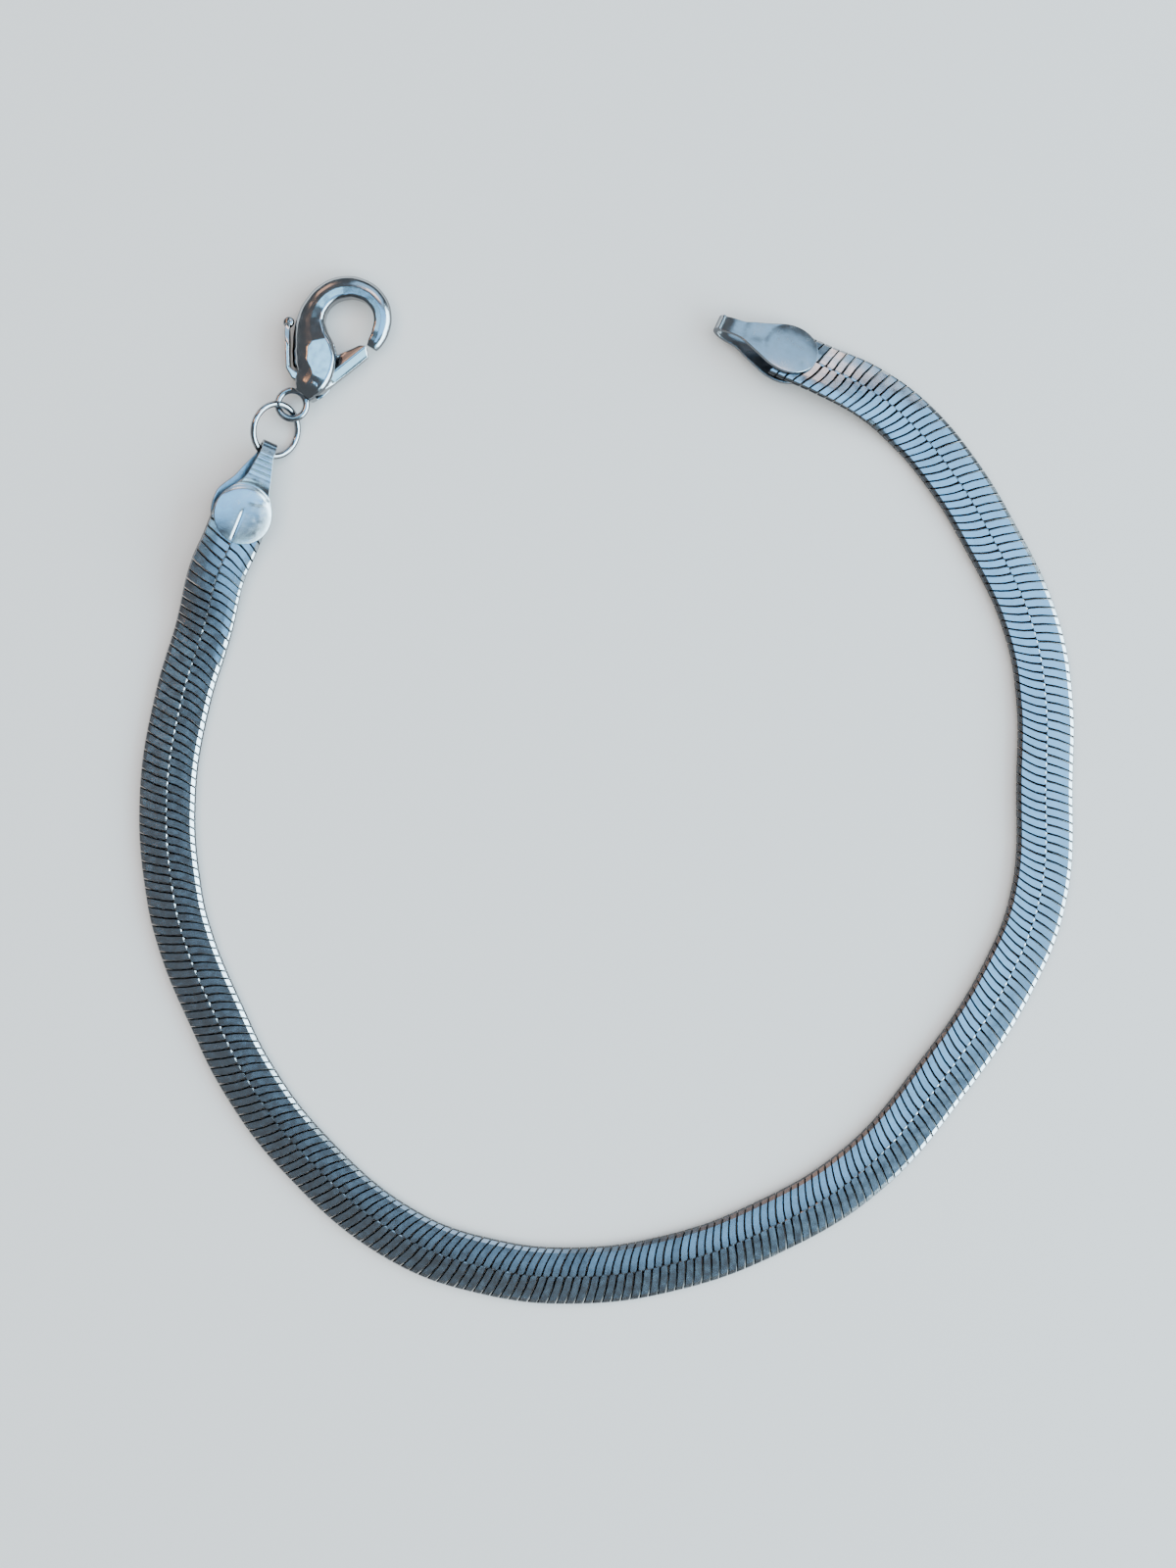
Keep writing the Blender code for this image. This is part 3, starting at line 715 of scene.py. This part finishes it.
path = bpy.data.curves.new("casting_path", "CURVE")
path.dimensions = "3D"
path.twist_mode = "Z_UP"
path.resolution_u = 12
path.bevel_mode = "OBJECT"
path.bevel_object = section_item
path.use_fill_caps = True
spline = path.splines.new("BEZIER")
spline.bezier_points.add(len(CASTING_PATH) - 1)
for point, row in zip(spline.bezier_points, CASTING_PATH):
    point.co = (row["along"] * CLASP_LENGTH, -row["right"] * CLASP_LENGTH, 0.0)
    point.radius = row["half"]
    point.handle_left_type = "AUTO"
    point.handle_right_type = "AUTO"
casting_mesh = settled(added("casting_path", path), "casting")
bpy.data.objects.remove(section_item)
bm = bmesh.new()
bm.from_mesh(casting_mesh)
bmesh.ops.remove_doubles(bm, verts=bm.verts, dist=0.001 * MM)
for side in (-1.0, 1.0):
    bmesh.ops.bisect_plane(bm, geom=bm.verts[:] + bm.edges[:] + bm.faces[:], dist=1e-7,
                           plane_co=(0.0, 0.0, side * FACET_HEIGHT), plane_no=(0.0, 0.0, side),
                           clear_outer=True)
    bmesh.ops.holes_fill(bm, edges=[item for item in bm.edges if item.is_boundary], sides=0)
bmesh.ops.recalc_face_normals(bm, faces=bm.faces)
bm.to_mesh(casting_mesh)
bm.free()

casting = added("casting", casting_mesh)
eye = added("eye", bent_wire("eye", EYE_WIRE, (EYE_HOLE + EYE_WIRE) / 2, steps=48))
slot = added("slot", plate(SLOT_OUTLINE, SLOT_HEIGHT))
cut(casting, eye, "UNION")
cut(casting, slot, "DIFFERENCE")
casting_mesh = tumbled(casting, "clasp_casting", CASTING_GRAIN, rounds=2)
bpy.data.objects.remove(eye)
bpy.data.objects.remove(slot)

casting_finish = silver("tumbled_casting", clean=(0.84, 0.86, 0.89), tarnish=(0.55, 0.55, 0.57),
                        tarnish_amount=0.30, side_shade=0.9, smooth=0.12, rough=0.22, dents=0.05)
casting = placed("clasp_casting", casting_mesh, casting_finish)
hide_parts("clasp_body")
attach(casting, "bracelet")


# Clasp's pin
# A plain silver rivet through both cheeks, filed almost flush, with its ends slightly domed.

PIN_DIAMETER = 0.60 * MM
PIN_DOMING = 0.09 * MM

bm = bmesh.new()
bmesh.ops.create_cone(bm, cap_ends=True, segments=32, radius1=PIN_DIAMETER / 2,
                      radius2=PIN_DIAMETER / 2, depth=pin_high.z - pin_low.z)
rims = [item for item in bm.edges if abs(item.verts[0].co.z - item.verts[1].co.z) < 1e-7]
bmesh.ops.bevel(bm, geom=rims, offset=PIN_DOMING, affect="EDGES", segments=3, profile=0.5,
                material=-1)
bmesh.ops.translate(bm, verts=bm.verts, vec=(pin_low + pin_high) / 2)
pin = placed("clasp_rivet", as_mesh(bm, "clasp_rivet"), casting_finish)
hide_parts("clasp_pin")
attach(pin, "bracelet")


# Clasp's lever
# Gate, hub and thumb arm are one small casting with a ridge along it. A hidden spring holds the
# gate shut against the hook's tip, and the ball at the arm's end is pushed to open it.

LEVER_HEIGHT = 1.20 * MM
GATE_EAVES = 0.50
GATE_HALF_WIDTH = 0.62 * MM
GATE_ROOF_RUN = 0.25
GATE_RIDGE_START = Vector((2.1, -1.25)) * MM
GATE_RIDGE_END = Vector((5.75, -3.16)) * MM
BALL_DIAMETER = 0.84 * MM
BALL_PLACE = Vector((0.516, 0.251, 0.0)) * CLASP_LENGTH
LEVER_GRAIN = 0.040 * MM
LEVER_OUTLINE = [
    (0.563, 0.272), (0.575, 0.316), (0.510, 0.356), (0.371, 0.284), (0.233, 0.208),
    (0.200, 0.189), (0.154, 0.164), (0.126, 0.133), (0.122, 0.090), (0.141, 0.052),
    (0.158, 0.014), (0.162, -0.067), (0.211, -0.133), (0.309, -0.183), (0.379, -0.213),
    (0.440, -0.244), (0.497, -0.267), (0.509, -0.236), (0.455, -0.213), (0.396, -0.186),
    (0.318, -0.155), (0.230, -0.112), (0.215, -0.057), (0.223, 0.010), (0.253, 0.059),
    (0.333, 0.097), (0.429, 0.145)]


def gate_roof(x, y):
    """Share of its height that the lever keeps there: the gate is filed to a roof-like ridge."""
    line = GATE_RIDGE_END - GATE_RIDGE_START
    along = (Vector((x, y)) - GATE_RIDGE_START).dot(line) / line.length_squared
    across = abs(line.normalized().cross(Vector((x, y)) - GATE_RIDGE_START))
    return 1.0 - GATE_EAVES * min(1.0, across / GATE_HALF_WIDTH) * eased(along / GATE_ROOF_RUN)


bm = bmesh.new()
bmesh.ops.create_uvsphere(bm, u_segments=24, v_segments=16, radius=BALL_DIAMETER / 2)
bmesh.ops.translate(bm, verts=bm.verts, vec=BALL_PLACE)
lever = added("lever", plate(LEVER_OUTLINE, LEVER_HEIGHT))
ball = added("ball", as_mesh(bm, "ball"))
cut(lever, ball, "UNION")
lever_mesh = tumbled(lever, "clasp_lever_casting", LEVER_GRAIN, rounds=9, shaping=gate_roof)
bpy.data.objects.remove(ball)
lever_finish = silver("polished_lever", clean=(0.88, 0.87, 0.87), tarnish=(0.58, 0.57, 0.58),
                      tarnish_amount=0.25, side_shade=0.9, smooth=0.10, rough=0.18, dents=0.03)
lever = placed("clasp_lever_casting", lever_mesh, lever_finish)
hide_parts("clasp_lever")
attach(lever, "lever")


# Table, light and camera
# A plain pale table in an evenly lit room. A cool window stands to the right, with blue sky over
# it and above, and a dim warm lamp and wall on the left. The camera looks straight down.

FLOOR_SIZE = 4.0

bm = bmesh.new()
bmesh.ops.create_grid(bm, x_segments=1, y_segments=1, size=FLOOR_SIZE / 2)
paper = bpy.data.materials.new("pale_table")
paper.use_nodes = True
paper_shader = paper.node_tree.nodes["Principled BSDF"]
paper_shader.inputs["Base Color"].default_value = (0.70, 0.70, 0.69, 1.0)
paper_shader.inputs["Roughness"].default_value = 0.75
floor = placed("table_top", as_mesh(bm, "table_top"), paper)


def panel(name, place, lean, bearing, size, power, colour):
    """A soft rectangular light over the table, leant from level to face it from its bearing."""
    data = bpy.data.lights.new(name, "AREA")
    data.shape = "RECTANGLE"
    data.size, data.size_y = size
    data.energy = power
    data.color = colour
    item = added(name, data)
    item.location = place
    item.rotation_euler = (0.0, radians(lean), radians(bearing))
    return item


panel("window", place=(0.56, -0.12, 0.31), lean=61.0, bearing=-12.0, size=(0.50, 0.85),
      power=11.0, colour=(0.60, 0.86, 1.0))
panel("sky", place=(0.250, 0.062, 0.60), lean=0.0, bearing=8.0, size=(0.51, 0.27),
      power=0.82, colour=(0.19, 0.56, 1.0))
panel("skylight", place=(-0.105, 0.17, 0.60), lean=0.0, bearing=0.0, size=(0.10, 0.15),
      power=0.13, colour=(0.28, 0.68, 1.0))
panel("low_sky", place=(0.22, -0.27, 0.45), lean=38.0, bearing=-50.0, size=(0.14, 0.16),
      power=0.18, colour=(0.30, 0.72, 1.0))
panel("far_sky", place=(0.20, 0.44, 0.42), lean=49.0, bearing=65.0, size=(0.34, 0.40),
      power=0.42, colour=(0.34, 0.66, 1.0))
panel("warm_beam", place=(0.10, 0.235, 0.36), lean=35.0, bearing=68.0, size=(0.07, 0.12),
      power=0.060, colour=(1.0, 0.72, 0.60))
panel("warm_lamp", place=(-0.24, 0.40, 0.30), lean=58.0, bearing=120.0, size=(0.14, 0.14),
      power=0.055, colour=(1.0, 0.55, 0.36))
panel("warm_wall", place=(-0.24, 0.15, 0.40), lean=35.0, bearing=148.0, size=(0.05, 0.09),
      power=0.080, colour=(1.0, 0.46, 0.20))
table_light = panel("table_light", place=(0.0, 0.0, 0.80), lean=0.0, bearing=0.0, size=(1.2, 1.2),
                    power=13.0, colour=(1.0, 0.95, 0.90))
table_light.visible_glossy = False

world = bpy.data.worlds.new("room")
bpy.context.scene.world = world
world.use_nodes = True
world.node_tree.nodes["Background"].inputs["Color"].default_value = (0.17, 0.19, 0.21, 1.0)
world.node_tree.nodes["Background"].inputs["Strength"].default_value = 0.45

camera_data = bpy.data.cameras.new("camera")
camera_data.lens = 52.0
camera_data.sensor_width = 36.0
camera_data.clip_start = 0.001
camera = added("camera", camera_data)
camera.location = (-0.00136, 0.00052, 0.16695)
bpy.context.scene.camera = camera
